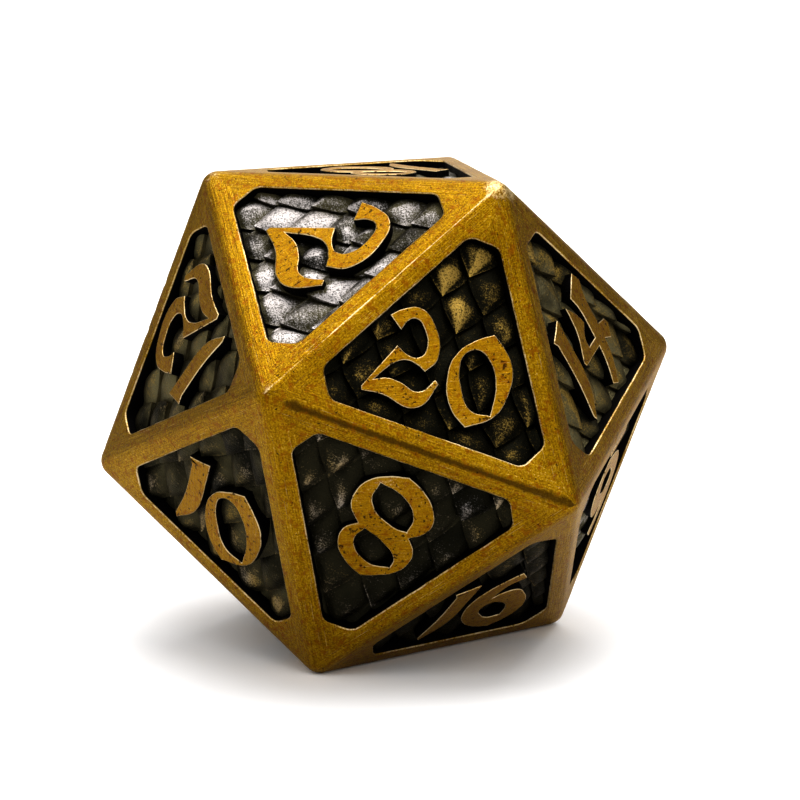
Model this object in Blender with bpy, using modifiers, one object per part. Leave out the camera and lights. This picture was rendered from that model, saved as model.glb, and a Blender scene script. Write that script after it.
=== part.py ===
"""Twenty-sided metal die: cast body with brushed ridges, blackened scale panels and raised numerals.

The die stands on its face 3 with face 18 on top. The origin is the centre of the resting face.
"""

import math
import random

import bmesh
import bpy
from mathutils import Matrix, Vector

MM = 0.001
GOLDEN = (1 + math.sqrt(5)) / 2

# Body
FACE_TO_FACE = 20.0 * MM
EDGE = FACE_TO_FACE * math.sqrt(3) / GOLDEN**2
RIDGE_BEVEL = 0.28 * MM
RIDGE_SEGMENTS = 2

# Recess in each face: a triangle with its corners cut off and rounded
LAND_WIDTH = 0.77 * MM
CORNER_CUT = 5.0 * MM
CORNER_RADIUS = 0.5 * MM
CORNER_SEGMENTS = 3
POCKET_DEPTH = 1.1 * MM
CUTTER_RISE = 1.0 * MM

# Panel in each recess, with overlapping scales on it. Depths are below the ridges' flat lands.
# The start is the place of a scale's tip on the face's middle line, measured from the centre of the face
# against the way the scales point. They point away from the corner above the number, or towards it on
# the turned faces.
SEAM = 0.03 * MM
SCALE_TIP_DEPTH = 0.35 * MM
SCALE_SIDE_DEPTH = 0.48 * MM
SCALE_ROOT_DEPTH = 0.55 * MM
SCALE_COLUMN = 1.9 * MM
SCALE_ROW = 1.25 * MM
SCALE_START = 1.1 * MM
SCALE_STARTS = {2: 1.25 * MM, 8: -0.1 * MM, 10: 1.4 * MM, 14: 1.5 * MM}
SCALE_TURNED = (8,)
SCALE_JITTER = 0.1 * MM
SCALE_ROWS = range(-4, 6)
SCALE_COLUMNS = range(-3, 4)

# Numerals. A base is the height of a digit's foot above the centre of the face.
NUMERAL_TOP_DEPTH = 0.02 * MM
NUMERAL_FOOT_DEPTH = 0.32 * MM
SINGLE_HEIGHT = 4.95 * MM
SINGLE_BASE = -2.3 * MM
SINGLE_BASES = {2: -2.06 * MM, 8: -2.53 * MM}
PAIR_BASE = -2.5 * MM
TENS_LEFT = -2.3 * MM
TENS_HEIGHT = 4.3 * MM
UNITS_LEFT = -0.85 * MM
UNITS_HEIGHT = 4.7 * MM
UNITS_HEIGHTS = {10: 4.43 * MM, 14: 4.96 * MM}
ELEVEN_LEFTS = (-1.75 * MM, 0.35 * MM)
TWENTY_LEFTS = (-3.03 * MM, 0.1 * MM)
TWENTY_WIDTHS = (0.88, 0.95)
TWENTY_BASE = -2.35 * MM
TWENTY_HEIGHT = 3.95 * MM
UNDERLINE_LENGTH = 2.2 * MM
UNDERLINE_HEIGHT = 0.34 * MM
UNDERLINE_BASE = -2.84 * MM
CURVE_STEPS = 2
WELD = 0.001 * MM

GOLD = ("antique_gold", (0.42, 0.24, 0.035, 1.0), 0.38)
BLACK = ("blackened_panel", (0.035, 0.033, 0.028, 1.0), 0.55)

# Corners of the body as (level, azimuth in degrees). The levels are at heights 0, 1, GOLDEN and
# GOLDEN**2 times EDGE / sqrt(3), with radius 1, GOLDEN, GOLDEN and 1 times the same length.
LEVEL_HEIGHTS = (0, 1, GOLDEN, GOLDEN**2)
LEVEL_RADII = (1, GOLDEN, GOLDEN, 1)
CORNERS = {
    "F": (0, -120), "H": (0, 0), "S": (0, 120),
    "C": (1, -60), "Y": (1, 60), "E": (1, 180),
    "A": (2, -120), "G": (2, 0), "Z": (2, 120),
    "B": (3, -60), "X": (3, 60), "D": (3, 180),
}  # fmt: skip

# The number on each face, and the face's corners counter-clockwise from the one above the number
FACES = {
    1: "SZY", 2: "BDA", 3: "SHF", 4: "BGX", 5: "ZDX",
    6: "HGC", 7: "SEZ", 8: "FCA", 9: "GHY", 10: "AEF",
    11: "YXG", 12: "EAD", 13: "XYZ", 14: "BCG", 15: "DZE",
    16: "CFH", 17: "SFE", 18: "BXD", 19: "SYH", 20: "BAC",
}  # fmt: skip

# Digit outlines in hundredths of the digit's height. A third value of 1 marks a sharp corner,
# and the points without it are joined smoothly.
DIGITS = {
    "0": [
        [(36, 100, 1), (51, 90), (65, 74), (69, 48), (61, 21), (34, 0, 1), (14, 13), (0, 46), (4, 70), (19, 88)],
        [(12, 70), (24, 79), (40, 72), (53, 50), (56, 20, 1), (34, 19), (18, 38), (11, 56)],
    ],
    "1": [
        [(0, 89, 1), (10, 93), (25, 100, 1), (26, 80), (24, 28), (6, 0, 1), (3, 5, 1), (7, 40), (5, 82, 1)],
    ],
    "2": [
        [
            (8, 83, 1), (22, 94), (39, 100), (57, 92), (75, 57), (65, 40, 1), (54, 44), (42, 45), (31, 40),
            (12, 16, 1), (27, 22), (41, 22), (64, 19), (79, 36, 1), (84, 33, 1), (73, 7), (60, 0), (27, 4),
            (2, 1, 1), (0, 5, 1), (26, 56, 1), (44, 50), (54, 52), (59, 61), (51, 80), (38, 88), (30, 83),
            (25, 72, 1),
        ],
    ],
    "3": [
        [
            (7, 84, 1), (20, 95), (37, 100), (55, 91), (63, 78), (52, 58, 1), (68, 42), (70, 28), (60, 10),
            (40, 0, 1), (20, 3), (0, 17, 1), (8, 23, 1), (24, 14), (40, 15), (54, 30), (44, 46),
            (24, 50, 1), (24, 57, 1), (38, 60), (47, 74), (40, 87), (28, 86), (18, 72, 1),
        ],
    ],
    "4": [
        [
            (14, 86, 1), (26, 73), (31, 63, 1), (20, 52), (20, 45, 1), (36, 45, 1), (34, 75), (29, 87, 1),
            (50, 100, 1), (57, 91, 1), (52, 76), (52, 50, 1), (64, 48, 1), (68, 42, 1), (61, 31, 1),
            (51, 36, 1), (48, 20), (36, 0, 1), (28, 4, 1), (35, 25), (36, 37, 1), (2, 37, 1), (0, 41, 1),
            (12, 62), (14, 76),
        ],
    ],
    "5": [
        [
            (13, 98, 1), (30, 94), (47, 95), (66, 100, 1), (61, 88), (44, 83), (26, 84, 1), (24, 66, 1),
            (40, 68), (58, 59), (66, 42), (63, 24), (52, 9), (34, 0, 1), (16, 2), (0, 13, 1), (6, 20, 1),
            (20, 13), (34, 13), (48, 22), (52, 36), (46, 50), (32, 56), (9, 50, 1), (14, 72),
        ],
    ],
    "6": [
        [
            (34, 100, 1), (44, 90, 1), (29, 79), (23, 60, 1), (33, 67), (46, 69), (62, 57), (74, 38),
            (75, 24), (67, 10), (54, 0, 1), (31, 7), (12, 21), (2, 40), (1, 58), (9, 77), (21, 90),
        ],
        [(21, 40), (25, 49), (41, 47), (53, 35), (55, 21, 1), (42, 20), (28, 29)],
    ],
    "7": [
        [
            (1, 99, 1), (16, 94), (34, 94), (64, 100, 1), (60, 82), (46, 54), (38, 26), (22, 0, 1),
            (18, 8, 1), (25, 36), (35, 60), (48, 82, 1), (34, 79), (19, 80), (8, 70, 1), (4, 84),
        ],
    ],
    "8": [
        [
            (36, 100, 1), (53, 91), (65, 76), (65, 63), (56, 54, 1), (67, 42), (69, 30), (63, 14), (52, 6),
            (34, 0, 1), (18, 8), (5, 21), (0, 34), (3, 44), (13, 53, 1), (5, 63), (4, 74), (11, 87), (24, 95),
        ],
        [(17, 84, 1), (35, 86), (53, 70), (49, 57, 1), (31, 64), (17, 76)],
        [(17, 48, 1), (30, 47), (53, 31), (53, 13, 1), (31, 19), (17, 34)],
    ],
}  # fmt: skip


def remove_everything():
    for item in list(bpy.data.objects):
        bpy.data.objects.remove(item, do_unlink=True)


def make_collection(name):
    made = bpy.data.collections.new(name)
    bpy.context.scene.collection.children.link(made)
    return made


def make_material(name, colour, roughness):
    made = bpy.data.materials.new(name)
    made.use_nodes = True
    surface = made.node_tree.nodes["Principled BSDF"]
    surface.inputs["Base Color"].default_value = colour
    surface.inputs["Roughness"].default_value = roughness
    surface.inputs["Metallic"].default_value = 1.0
    return made


def add_object(name, mesh, collection, placement=None):
    made = bpy.data.objects.new(name, mesh)
    if placement is not None:
        made.matrix_world = placement
    collection.objects.link(made)
    return made


def add_cutter(name, mesh, placement=None):
    made = add_object(name, mesh, cutters, placement)
    made.hide_render = True
    made.display_type = "WIRE"
    return made


def add_boolean(target, operation, operand):
    modifier = target.modifiers.new(operation.title(), "BOOLEAN")
    modifier.operation = operation
    modifier.object = operand
    modifier.solver = "EXACT"


def corner_point(name):
    level, azimuth = CORNERS[name]
    size = EDGE / math.sqrt(3)
    angle = math.radians(azimuth)
    radius = LEVEL_RADII[level] * size
    return Vector((radius * math.cos(angle), radius * math.sin(angle), LEVEL_HEIGHTS[level] * size))


def face_frame(number):
    """The face's own frame: origin at its centre, +Y to the corner above the number, +Z outwards."""
    points = [corner_point(name) for name in FACES[number]]
    centre = sum(points, Vector()) / 3
    up = (points[0] - centre).normalized()
    outwards = (points[1] - points[0]).cross(points[2] - points[0]).normalized()
    right = up.cross(outwards)
    frame = Matrix((right, up, outwards)).transposed().to_4x4()
    frame.translation = centre
    return frame


def recess_outline(inset):
    """The recess seen from outside, made smaller all round by the inset."""
    side = EDGE / (2 * math.sqrt(3)) - LAND_WIDTH - inset
    cut = CORNER_CUT - inset
    half = (2 * side - cut) * math.tan(math.radians(30))
    outline = []
    for turn in (90, 210, 330):
        turned = Matrix.Rotation(math.radians(turn - 90), 2)
        outline += [turned @ Vector((half, cut)), turned @ Vector((-half, cut))]
    return outline


def prism(name, outline, bottom, top, corner_radius=0.0):
    """A flat outline standing between two heights, with its upright corners rounded."""
    shape = bmesh.new()
    face = shape.faces.new([shape.verts.new((x, y, bottom)) for x, y in outline])
    if corner_radius:
        bmesh.ops.bevel(
            shape, geom=face.verts[:], offset=corner_radius * math.tan(math.radians(30)),
            segments=CORNER_SEGMENTS, profile=0.5, affect="VERTICES",
        )  # fmt: skip
    made = bmesh.ops.extrude_face_region(shape, geom=shape.faces[:])
    raised = [part for part in made["geom"] if isinstance(part, bmesh.types.BMVert)]
    bmesh.ops.translate(shape, verts=raised, vec=(0, 0, top - bottom))
    bmesh.ops.recalc_face_normals(shape, faces=shape.faces)
    mesh = bpy.data.meshes.new(name)
    shape.to_mesh(mesh)
    shape.free()
    return mesh


def scale_bed(name, number):
    """A slab topped by rows of overlapping scales.

    The scales meet at the nodes of a diamond lattice. Each node has three levels: the tip of the scale
    above it, the sides of the scales to its left and right, and the root of the scale below it.
    """
    dice = random.Random(number)
    start = SCALE_STARTS.get(number, SCALE_START)
    turn = -1 if number in SCALE_TURNED else 1
    shape = bmesh.new()
    nodes = {}

    def node(column, row):
        if (column, row) not in nodes:
            x = (column + row % 2 / 2) * SCALE_COLUMN + dice.uniform(-1, 1) * SCALE_JITTER
            y = start + row * SCALE_ROW + dice.uniform(-1, 1) * SCALE_JITTER
            depths = (SCALE_TIP_DEPTH, SCALE_SIDE_DEPTH, SCALE_ROOT_DEPTH)
            nodes[column, row] = [shape.verts.new((turn * x, turn * y, -depth)) for depth in depths]
        return nodes[column, row]

    for row in SCALE_ROWS:
        for column in SCALE_COLUMNS:
            side = column - 1 + row % 2
            root = node(column, row)
            left, right = node(side, row - 1), node(side + 1, row - 1)
            tip = node(column, row - 2)
            shape.faces.new((root[2], left[1], tip[0]))
            shape.faces.new((root[2], tip[0], right[1]))
            shape.faces.new((tip[0], left[1], left[2], tip[1]))
            shape.faces.new((tip[0], tip[1], right[2], right[1]))
    rim = [edge for edge in shape.edges if edge.is_boundary]
    skirt = bmesh.ops.extrude_edge_only(shape, edges=rim)["geom"]
    for corner in [part for part in skirt if isinstance(part, bmesh.types.BMVert)]:
        corner.co.z = SEAM - POCKET_DEPTH
    hem = [part for part in skirt if isinstance(part, bmesh.types.BMEdge) and part.is_boundary]
    bmesh.ops.contextual_create(shape, geom=hem)
    bmesh.ops.recalc_face_normals(shape, faces=shape.faces)
    mesh = bpy.data.meshes.new(name)
    shape.to_mesh(mesh)
    shape.free()
    return mesh


def add_panel(number):
    frame = face_frame(number)
    name = f"scale_panel_{number:02d}"
    bed = scale_bed(name, number)
    bed.materials.append(black)
    panel = add_object(name, bed, die, frame)
    trim = prism(name, recess_outline(SEAM), -2 * POCKET_DEPTH, CUTTER_RISE, CORNER_RADIUS)
    add_boolean(panel, "INTERSECT", add_cutter(f"trim_{number:02d}", trim, frame))


def digit_mesh(name, contours, width, height):
    """A digit as a flat curve with an extrusion, made a welded mesh. Its lower left corner is at 0, 0."""
    drawing = bpy.data.curves.new(name, "CURVE")
    drawing.dimensions = "2D"
    drawing.fill_mode = "BOTH"
    drawing.resolution_u = CURVE_STEPS
    drawing.extrude = (NUMERAL_FOOT_DEPTH - NUMERAL_TOP_DEPTH) / 2
    for contour in contours:
        spline = drawing.splines.new("BEZIER")
        spline.bezier_points.add(len(contour) - 1)
        spline.use_cyclic_u = True
        for point, (x, y, *corner) in zip(spline.bezier_points, contour):
            point.co = (x * width, y * height / 100, 0)
            point.handle_left_type = "VECTOR" if corner else "AUTO"
            point.handle_right_type = point.handle_left_type
    holder = bpy.data.objects.new(name, drawing)
    cutters.objects.link(holder)
    bpy.context.view_layer.update()
    graph = bpy.context.evaluated_depsgraph_get()
    mesh = bpy.data.meshes.new_from_object(holder.evaluated_get(graph))
    bpy.data.objects.remove(holder)
    shape = bmesh.new()
    shape.from_mesh(mesh)
    bmesh.ops.remove_doubles(shape, verts=shape.verts, dist=WELD)
    shape.to_mesh(mesh)
    shape.free()
    mesh.name = name
    mesh.materials.clear()
    mesh.materials.append(gold)
    return mesh


def turned_over(contours):
    """The digit turned by half a turn."""
    width = max(point[0] for point in contours[0])
    return [[(width - x, 100 - y, *corner) for x, y, *corner in contour] for contour in contours]


def digits_of(number):
    """Each digit as (node name, digit, left edge, base, width factor, height)."""
    node = f"numeral_{number:02d}"
    if number < 10:
        width = max(point[0] for point in DIGITS[str(number)][0]) / 100 * SINGLE_HEIGHT
        base = SINGLE_BASES.get(number, SINGLE_BASE)
        return [(node, str(number), -width / 2, base, 1, SINGLE_HEIGHT)]
    names = (f"{node}_tens", f"{node}_units")
    digits = str(number)
    lefts, widths, base = (TENS_LEFT, UNITS_LEFT), (1, 1), PAIR_BASE
    heights = (TENS_HEIGHT, UNITS_HEIGHTS.get(number, UNITS_HEIGHT))
    if number == 11:
        lefts, heights = ELEVEN_LEFTS, (TENS_HEIGHT, TENS_HEIGHT)
    if number == 20:
        lefts, widths, base = TWENTY_LEFTS, TWENTY_WIDTHS, TWENTY_BASE
        heights = (TWENTY_HEIGHT, TWENTY_HEIGHT)
    return [(*each, base, *size) for each, size in zip(zip(names, digits, lefts), zip(widths, heights))]


def add_numerals(number):
    frame = face_frame(number)
    middle = -(NUMERAL_TOP_DEPTH + NUMERAL_FOOT_DEPTH) / 2
    for name, digit, left, base, width, height in digits_of(number):
        mesh = digit_mesh(name, DIGITS[digit], width * height / 100, height)
        add_object(name, mesh, die, frame @ Matrix.Translation((left, base, middle)))


def add_underline(number):
    """A bar under the number, so that a 6 and a 9 can be told apart. Its top is a little narrower."""
    foot, top = UNDERLINE_BASE, UNDERLINE_BASE + UNDERLINE_HEIGHT
    end = UNDERLINE_LENGTH / 2
    bar = [(-end, foot), (end, foot), (0.9 * end, top), (-0.9 * end, top)]
    name = f"underline_{number:02d}"
    mesh = prism(name, bar, -NUMERAL_FOOT_DEPTH, -NUMERAL_TOP_DEPTH)
    mesh.materials.append(gold)
    add_object(name, mesh, die, face_frame(number))


def add_body():
    shape = bmesh.new()
    bmesh.ops.convex_hull(shape, input=[shape.verts.new(corner_point(name)) for name in CORNERS])
    bmesh.ops.recalc_face_normals(shape, faces=shape.faces)
    mesh = bpy.data.meshes.new("cast_body")
    shape.to_mesh(mesh)
    shape.free()
    mesh.materials.append(gold)
    body = add_object("cast_body", mesh, die)
    rounding = body.modifiers.new("Ridges", "BEVEL")
    rounding.width = RIDGE_BEVEL
    rounding.segments = RIDGE_SEGMENTS
    rounding.limit_method = "NONE"
    pocket = prism("pocket", recess_outline(0), -POCKET_DEPTH, CUTTER_RISE, CORNER_RADIUS)
    pockets = bmesh.new()
    for number in FACES:
        placed = pocket.copy()
        placed.transform(face_frame(number))
        pockets.from_mesh(placed)
        bpy.data.meshes.remove(placed)
    all_pockets = bpy.data.meshes.new("pockets")
    pockets.to_mesh(all_pockets)
    pockets.free()
    add_boolean(body, "DIFFERENCE", add_cutter("pockets", all_pockets))


remove_everything()
DIGITS["9"] = turned_over(DIGITS["6"])
die = make_collection("polyhedral_die")
cutters = make_collection("cutters")
gold = make_material(*GOLD)
black = make_material(*BLACK)
add_body()
for face_number in sorted(FACES):
    add_panel(face_number)
    add_numerals(face_number)
for face_number in (6, 9):
    add_underline(face_number)
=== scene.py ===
"""Fine surfaces, materials, light and camera for the antique-gold twenty-sided die.

The die is one casting. Its ridges and the tops of its numerals are brushed gold, and the scale relief in
each face's recess is blackened, with the metal showing through where the scales are worn. Highlights on
the gold's rims, crests and corners, dark bands on some ridges that are partly painted shade, and a paler
sheen and bright silver reflections on some faces' scales are painted into the colours.
Lengths are in millimetres until a mesh is made, and the frame's own size sets the size of everything.
"""

import math
import random

import bmesh
import bpy
import numpy as np
from mathutils import Matrix, Vector, geometry, noise


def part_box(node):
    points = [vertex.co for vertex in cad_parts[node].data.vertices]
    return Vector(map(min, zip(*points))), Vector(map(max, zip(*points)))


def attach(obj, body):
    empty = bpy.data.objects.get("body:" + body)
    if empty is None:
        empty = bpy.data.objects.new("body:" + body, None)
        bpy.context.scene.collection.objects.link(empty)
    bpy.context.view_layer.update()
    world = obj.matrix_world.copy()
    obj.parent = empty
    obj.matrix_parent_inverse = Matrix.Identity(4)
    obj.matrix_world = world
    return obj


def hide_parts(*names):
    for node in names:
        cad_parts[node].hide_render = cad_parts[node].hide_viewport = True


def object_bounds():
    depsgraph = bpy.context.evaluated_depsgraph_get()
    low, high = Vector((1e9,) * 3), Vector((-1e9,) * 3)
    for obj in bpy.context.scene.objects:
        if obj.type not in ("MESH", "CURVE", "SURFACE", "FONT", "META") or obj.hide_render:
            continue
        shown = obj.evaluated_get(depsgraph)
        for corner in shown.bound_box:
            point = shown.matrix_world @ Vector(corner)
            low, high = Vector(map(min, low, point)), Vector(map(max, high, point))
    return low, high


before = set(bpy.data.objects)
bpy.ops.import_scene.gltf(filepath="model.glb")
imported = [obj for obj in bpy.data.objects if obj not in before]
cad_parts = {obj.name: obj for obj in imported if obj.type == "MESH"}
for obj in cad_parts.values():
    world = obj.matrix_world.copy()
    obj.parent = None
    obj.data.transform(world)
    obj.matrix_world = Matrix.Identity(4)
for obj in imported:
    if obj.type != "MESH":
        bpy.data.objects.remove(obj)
cad_low, cad_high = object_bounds()

MM = 0.001
GOLDEN = (1 + math.sqrt(5)) / 2
TAN30 = math.tan(math.radians(30))
THIRDS = (0, 120, 240)

# Body. The die stands on one face, so the frame's height is the distance between opposite faces.
FACE_TO_FACE = (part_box("cast_body")[1].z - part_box("cast_body")[0].z) / MM
EDGE = FACE_TO_FACE * math.sqrt(3) / GOLDEN**2
APOTHEM = EDGE / (2 * math.sqrt(3))
RIDGE_RADIUS = 0.73
LAND_WIDTH = 0.77
CORNER_CUT = 5.0
CORNER_RADIUS = 0.5
POCKET_DEPTH = 1.1
RIM_RADIUS = 0.085
STRAIGHT_STEPS = 31
CORNER_STEPS = 24
LAND_STEPS = (1.0, 0.95, 0.89, 0.82, 0.74, 0.62, 0.42, 0.2, 0.0)
RIM_ANGLES = (30, 60, 90)
WALL_DEPTHS = (0.45, POCKET_DEPTH)
BODY_SHARP_ANGLE = 50

# Unevenness of the casting. Waves are (size of the big ones, size of the small ones, share of the small
# ones). The rim's wobble fades out over a share of the land. Points nearer than the weld become one.
RIM_WOBBLE = 0.014
RIM_WAVES = (0.5, 0.16, 0.5)
RIM_WOBBLE_END = 0.3
LAND_WOBBLE = 0.006
LAND_WAVES = (1.3, 0.4, 0.4)
NOISE_SHIFT = (7.31, 3.77, 5.13)
BODY_SEED = 20
WELD = 0.0005

# Scale panels. Depths are below the flat lands. The start is the place of a scale's tip on the face's
# middle line, measured from the centre of the face against the way the scales point. They point away
# from the corner above the number, or towards it on the turned faces.
SEAM = 0.03
SCALE_COLUMN = 1.9
SCALE_ROW = 1.25
SCALE_START = 1.1
SCALE_STARTS = {2: 1.25, 8: -0.1, 10: 1.4, 14: 1.5}
SCALE_TURNED = (8,)
SCALE_JITTER = 0.12
SCALE_ROWS = range(-5, 7)
SCALE_COLUMNS = range(-4, 5)
TIP_DEPTH = 0.34
SIDE_DEPTH = 0.58
ROOT_DEPTH = 0.74
DEPTH_JITTER = 0.04
LEAF_BULGE = 0.10
LEAF_TURN = 0.9
KEEL_HEIGHT = 0.15
CROWN_HEIGHT = 0.12
SCALE_STEPS = 12
STEP_CROWDING = 1.5
PANEL_SHARP_ANGLE = 38
PANEL_SEED = 1000

# A scale's top. Its keel wanders to one side, and its crown leans. It rises from the root over a share of
# its length, and falls off steeply at its edges, by powers of the way there.
KEEL_BEND = 0.12
KEEL_FALL = 1.15
KEEL_SIZES = (0.55, 1.15)
CROWN_LEAN = 0.09
LEAF_EDGES = (1.0, 0.5)
LEAST_LEAF = 0.05
RISE_END = 0.45
TIP_FALL = 6
EDGE_FALL = 8

# Waves in the relief as (height, size, seed)
RELIEF_WAVES = ((0.012, 0.35, 0), (0.006, 0.12, 50))

# The wear and painted light of a face's scales: where the wear starts between root and tip, how narrow the
# worn leaf is, how strong the wear and painted glint are, the way in degrees towards the most worn side, how
# golden the bare metal is, and how pale the patina is. On faces 2, 6 and 18 the strong silver bare metal is a
# painted reflection of the lights these faces mirror, and the paler patina is a painted sheen, highest on
# faces seen at a glancing angle. The other faces have the plain finish.
SCALE_WEAR_AND_SHEEN = {
    2: (-0.10, 0.20, 1.30, -60, 0.00, 0.35),
    6: (0.00, 0.30, 1.20, 0, 0.00, 0.80),
    8: (0.36, 0.85, 0.66, -60, 0.62, 0.10),
    10: (0.15, 0.70, 0.50, -90, 0.75, 0.40),
    12: (0.10, 0.60, 0.60, 0, 0.80, 0.95),
    14: (0.05, 0.50, 1.15, 100, 0.95, 1.00),
    16: (0.10, 0.80, 0.30, 0, 0.70, 0.12),
    18: (-0.10, 0.20, 1.30, 90, 0.00, 0.80),
    20: (0.20, 0.90, 1.10, 75, 1.00, 0.02),
}
PLAIN_WEAR_AND_SHEEN = (0.15, 0.60, 0.80, 90, 0.70, 0.30)

# How the wear varies: how fast it sets in and leaves the root, where the narrow leaf ends, how far the two
# sides of a keel differ, how much more a face's worn side gets, and the levels a scale's wear has
WEAR_FADE = 0.4
ROOT_FADE = 0.16
NARROW_LEAF = (0.3, 0.75)
KEEL_SIDE_WEAR = (0.1, 0.5)
WORN_SIDE_GAIN = 0.45
WEAR_LEVELS = (0.35, 0.7, 0.95, 1.15)

# The thin bright edge round a scale's tip, partly wear and partly painted highlight, and the black strips
# along the recess's wall and the digits, partly patina that polishing can't reach and partly painted shade
EDGE_WEAR_AND_GLINT = 0.9
LEAST_EDGE_STRENGTH = 0.9
EDGE_BAND = (0.94, 1.0)
EDGE_START = (0.45, 0.85)
WALL_SHADE = 0.35
DIGIT_SHADE = 0.4

# Knocks on the ridges: the two corners, how far along, and the radius. More are added at random.
KNOCKS = [("B", "A", 0.44, 0.30), ("A", "B", 0.08, 0.22), ("A", "D", 0.35, 0.20)]
NICK_COUNT = 110
NICK_PLACES = (0.04, 0.96)
NICK_RADII = (0.12, 0.24)
NICK_SCATTER = 0.16
NICK_PUSHES = (0.15, 0.3)

# How each ridge's crest is painted: 1 is a painted highlight along it, and -1 is a dark band, partly stain
# and partly painted shade. The other ridges are drawn from a range. A corner gets a painted highlight too,
# from the first distance inwards and fully within the second.
RIDGE_HIGHLIGHT_AND_STAIN = {
    ("A", "B"): 1.0, ("A", "C"): -1.0, ("A", "F"): 0.1, ("A", "D"): -0.1, ("A", "E"): -0.2,
    ("B", "C"): -0.2, ("B", "D"): 0.0, ("C", "F"): 0.0,
}
CORNER_HIGHLIGHTS = {"B": 0.9, "A": 0.5}
RIDGE_RANGE = (-0.5, 0.3)
BRIGHTEST_CORNER_HIGHLIGHT = 0.7
CORNER_REACHES = (1.3, 0.5)

# Where the crest's painted highlight and the dark band of stain and painted shade start, as shares of the
# land's width from rim to ridge
CREST_HIGHLIGHT_START = 0.9
STAIN_AND_SHADE_START = 0.6

# The brushing's pattern is shifted for each face and for the numerals. The numerals are brushed at angles
# in degrees that change from face to face.
FACE_SHIFT = 3.7
NUMERAL_SHIFT = 100.0
FIRST_BRUSHING = 25
BRUSHING_STEP = 40
BRUSHING_COUNT = 4

# Numerals. A base is the height of a digit's foot above the centre of the face. The soot and the painted
# rim highlight on a digit's sides are placed by depth, as shares of the rounding. The flat top has no painted
# rim highlight.
NUMERAL_TOP_DEPTH = 0.02
NUMERAL_FOOT_DEPTH = 0.72
NUMERAL_ROUNDING = 0.05
LID_FLATNESS = 0.999
SOOT_FROM = 0.9
RIM_HIGHLIGHT_BAND = (1.3, 0.8)
TOP_MARGIN = 0.004
SINGLE_HEIGHT = 4.95
SINGLE_BASE = -2.3
SINGLE_BASES = {2: -2.06, 8: -2.53}
PAIR_BASE = -2.5
TENS_LEFT = -2.3
TENS_HEIGHT = 4.3
UNITS_LEFT = -0.85
UNITS_HEIGHT = 4.7
UNITS_HEIGHTS = {10: 4.43, 14: 4.96}
ELEVEN_LEFTS = (-1.75, 0.35)
TWENTY_LEFTS = (-3.03, 0.1)
TWENTY_WIDTHS = (0.88, 0.95)
TWENTY_BASE = -2.35
TWENTY_HEIGHT = 3.95
UNDERLINE_LENGTH = 2.2
UNDERLINE_HEIGHT = 0.34
UNDERLINE_BASE = -2.84
UNDERLINE_TAPER = 0.9
OUTLINE_STEPS = 10
OUTLINE_WOBBLE = 0.012
OUTLINE_WAVE = 0.22

# Camera, as seen from the centre of the die. The clip distances are in metres.
CAMERA_AZIMUTH = -97.18
CAMERA_ELEVATION = 10.2
CAMERA_DISTANCE = 105.1
CAMERA_LENS = 110.5
CAMERA_SENSOR = 36
CAMERA_CLIP = (0.005, 50)
AIM_RIGHT = 0.563
AIM_UP = 0.123

# Brightness of the room, where 1 is the white of the background. The light from above fades in between
# two heights, and the backdrop between two cosines of the angle from its middle.
SIDE_LIGHT = 0.10
TOP_LIGHT = 1.25
TOP_HEIGHTS = (0.30, 1.0)
BACK_LIGHT = 1.1
BACK_EDGES = (0.84, 0.97)

# Soft lights as (azimuth, elevation, strength, spread), with the angles in degrees
SUNS = {
    "overhead_softbox": (54, 78, 1.6, 50),
    "front_softbox": (-64, 27, 0.42, 38),
    "left_softbox": (195, 30, 0.46, 50),
}
EXPOSURE = 0.45
GAMMA = 0.8

# The table top: its colour where the camera sees it and where it lights the die, half its width in
# metres, and the gap under the die
FLOOR_SEEN = (1.0, 0.995, 1.0)
FLOOR_BOUNCE = (0.64, 0.637, 0.64)
FLOOR_HALF_WIDTH = 6.0
FLOOR_GAP = 0.02

# Corners of the body as (level, azimuth in degrees). The levels are at heights 0, 1, GOLDEN and
# GOLDEN**2 times EDGE / sqrt(3), with radius 1, GOLDEN, GOLDEN and 1 times the same length.
LEVEL_HEIGHTS = (0, 1, GOLDEN, GOLDEN**2)
LEVEL_RADII = (1, GOLDEN, GOLDEN, 1)
CORNERS = {
    "F": (0, -120), "H": (0, 0), "S": (0, 120),
    "C": (1, -60), "Y": (1, 60), "E": (1, 180),
    "A": (2, -120), "G": (2, 0), "Z": (2, 120),
    "B": (3, -60), "X": (3, 60), "D": (3, 180),
}

# The number on each face, and the face's corners counter-clockwise from the one above the number
FACES = {
    1: "SZY", 2: "BDA", 3: "SHF", 4: "BGX", 5: "ZDX",
    6: "HGC", 7: "SEZ", 8: "FCA", 9: "GHY", 10: "AEF",
    11: "YXG", 12: "EAD", 13: "XYZ", 14: "BCG", 15: "DZE",
    16: "CFH", 17: "SFE", 18: "BXD", 19: "SYH", 20: "BAC",
}

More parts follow.
